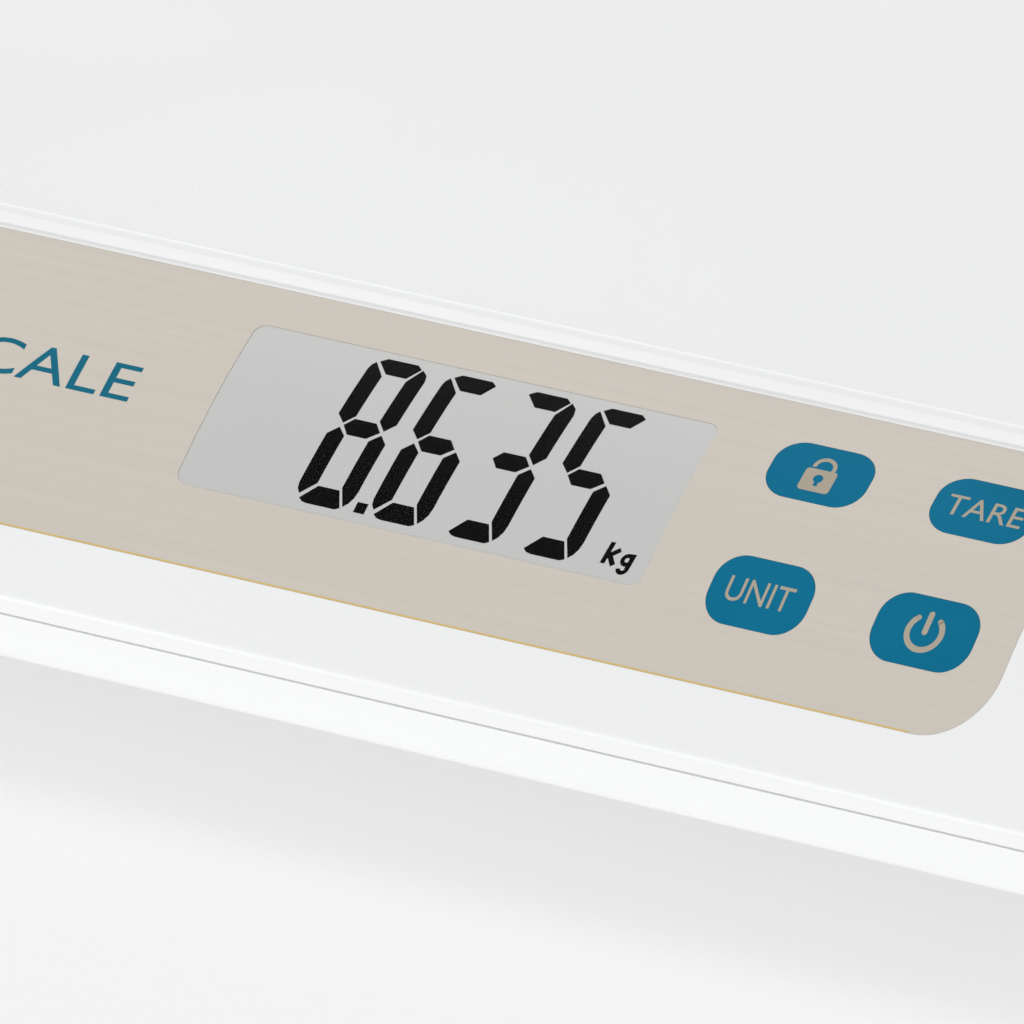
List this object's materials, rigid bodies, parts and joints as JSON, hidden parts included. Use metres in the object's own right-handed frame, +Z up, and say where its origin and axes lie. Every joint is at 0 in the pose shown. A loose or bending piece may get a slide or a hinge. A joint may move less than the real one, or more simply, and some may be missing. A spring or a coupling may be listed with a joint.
{
  "type": "digital baby scale",
  "caption": "Digital baby scale: dished white lying tray with a low front console, display, press keys, load-cell feet and a hinged battery door.",
  "frame": {"origin": "middle of the object on the floor, under the feet", "axes": "+X to the right along the width, +Y from the console to the rear, +Z up"},
  "size_m": [0.55, 0.33, 0.0844],
  "materials": {
    "housing_white": "glossy moulded ABS, white",
    "overlay_film": "printed polyester film, brushed beige",
    "clear_window": "clear film window",
    "display_grey": "liquid-crystal display, light grey",
    "black_plastic": "black moulded plastic",
    "rubber_grey": "dark grey rubber",
    "circuit_board": "green solder mask",
    "key_teal": "printed teal film, satin",
    "plated_steel": "plated steel",
    "battery_wrap": "plain blue battery sleeve",
    "wire_red": "PVC wire insulation",
    "label_silver": "blank silver label"
  },
  "bodies": {
    "housing": {"top_housing": "housing_white", "bottom_housing": "housing_white", "panel_overlay": "overlay_film", "display_window": "clear_window", "lcd_panel": "display_grey", "lcd_holder": "black_plastic", "controller_chip": "black_plastic", "switch_lock": "black_plastic", "switch_tare": "black_plastic", "switch_unit": "black_plastic", "switch_power": "black_plastic", "zebra_strip": "rubber_grey", "main_board": "circuit_board", "load_cell_front_left": "plated_steel", "load_cell_front_right": "plated_steel", "load_cell_rear_left": "plated_steel", "load_cell_rear_right": "plated_steel", "contact_bridge_1_2": "plated_steel", "contact_bridge_3_4": "plated_steel", "contact_bridge_2_3": "plated_steel", "contact_terminal_1": "plated_steel", "contact_terminal_4": "plated_steel", "housing_screw_1": "plated_steel", "housing_screw_2": "plated_steel", "housing_screw_3": "plated_steel", "housing_screw_4": "plated_steel", "housing_screw_5": "plated_steel", "housing_screw_6": "plated_steel", "board_screw_1": "plated_steel", "board_screw_2": "plated_steel", "board_screw_3": "plated_steel", "board_screw_4": "plated_steel", "battery_1": "battery_wrap", "battery_2": "battery_wrap", "battery_3": "battery_wrap", "battery_4": "battery_wrap", "sensor_cable_front_left": "wire_red", "sensor_cable_front_right": "wire_red", "sensor_cable_rear_left": "wire_red", "sensor_cable_rear_right": "wire_red", "battery_lead": "wire_red", "rating_plate": "label_silver"},
    "key_lock": {"key_lock": "key_teal"},
    "key_tare": {"key_tare": "key_teal"},
    "key_unit": {"key_unit": "key_teal"},
    "key_power": {"key_power": "key_teal"},
    "foot_front_left": {"foot_front_left": "housing_white", "foot_pad_front_left": "rubber_grey"},
    "foot_front_right": {"foot_front_right": "housing_white", "foot_pad_front_right": "rubber_grey"},
    "foot_rear_left": {"foot_rear_left": "housing_white", "foot_pad_rear_left": "rubber_grey"},
    "foot_rear_right": {"foot_rear_right": "housing_white", "foot_pad_rear_right": "rubber_grey"},
    "battery_door": {"battery_door": "housing_white"}
  },
  "joints": [
    {"name": "lock_press", "type": "slide", "parent": "housing", "child": "key_lock", "axis": [0, 0.3769, -0.9263], "range_m": [0, 0.0004], "stiffness_N_per_m": 3000},
    {"name": "tare_press", "type": "slide", "parent": "housing", "child": "key_tare", "axis": [0, 0.3769, -0.9263], "range_m": [0, 0.0004], "stiffness_N_per_m": 3000},
    {"name": "unit_press", "type": "slide", "parent": "housing", "child": "key_unit", "axis": [0, 0.3769, -0.9263], "range_m": [0, 0.0004], "stiffness_N_per_m": 3000},
    {"name": "power_press", "type": "slide", "parent": "housing", "child": "key_power", "axis": [0, 0.3769, -0.9263], "range_m": [0, 0.0004], "stiffness_N_per_m": 3000},
    {"name": "foot_front_left_load", "type": "slide", "parent": "housing", "child": "foot_front_left", "axis": [0, 0, 1], "range_m": [0, 0.0004], "stiffness_N_per_m": 10000},
    {"name": "foot_front_right_load", "type": "slide", "parent": "housing", "child": "foot_front_right", "axis": [0, 0, 1], "range_m": [0, 0.0004], "stiffness_N_per_m": 10000},
    {"name": "foot_rear_left_load", "type": "slide", "parent": "housing", "child": "foot_rear_left", "axis": [0, 0, 1], "range_m": [0, 0.0004], "stiffness_N_per_m": 10000},
    {"name": "foot_rear_right_load", "type": "slide", "parent": "housing", "child": "foot_rear_right", "axis": [0, 0, 1], "range_m": [0, 0.0004], "stiffness_N_per_m": 10000},
    {"name": "battery_door_hinge", "type": "hinge", "parent": "housing", "child": "battery_door", "pos_m": [0, 0.015, 0.011], "axis": [-1, 0, 0], "range_deg": [0, 75]}
  ]
}
